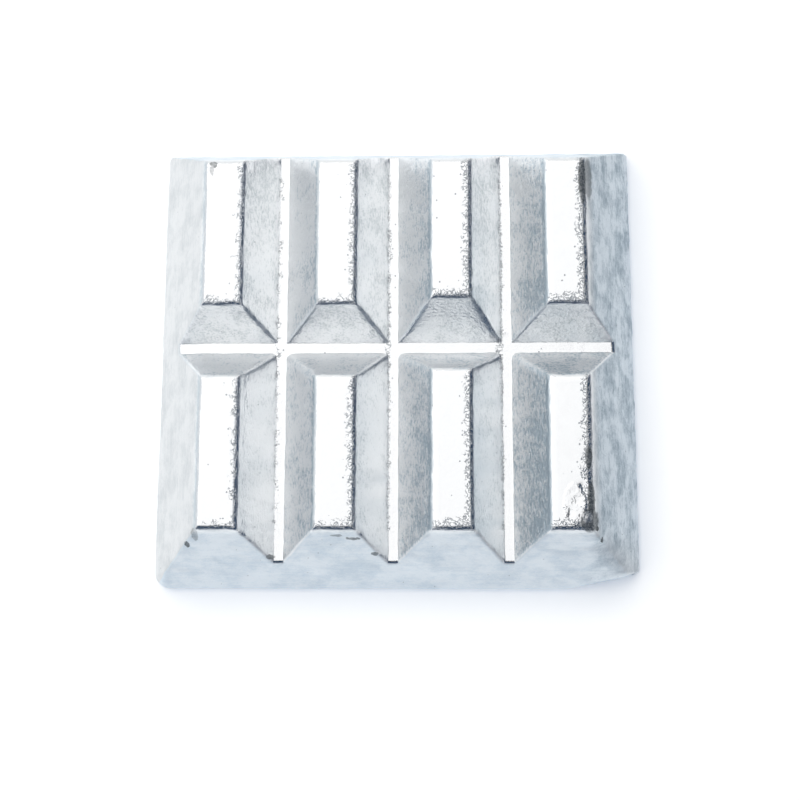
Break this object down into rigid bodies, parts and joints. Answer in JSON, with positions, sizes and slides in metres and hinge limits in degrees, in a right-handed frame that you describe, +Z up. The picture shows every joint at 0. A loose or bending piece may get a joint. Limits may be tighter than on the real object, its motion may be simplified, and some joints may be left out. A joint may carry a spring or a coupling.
{
  "type": "waffle ingot",
  "caption": "Cast aluminium waffle ingot: a flat slab with rows of drafted, flat-topped sections parted by narrow grooves, along which it is broken up for melting.",
  "frame": {"origin": "centre of the foot's outline, on the floor that the ingot lies on", "axes": "+X across the long grooves, +Y along them towards the steeper far wall, +Z up through the flat tops"},
  "size_m": [0.3, 0.28, 0.055],
  "materials": {
    "cast_aluminium": "bright as-cast, finely wrinkled and pitted"
  },
  "bodies": {
    "root": {"ingot": "cast_aluminium"}
  },
  "joints": []
}
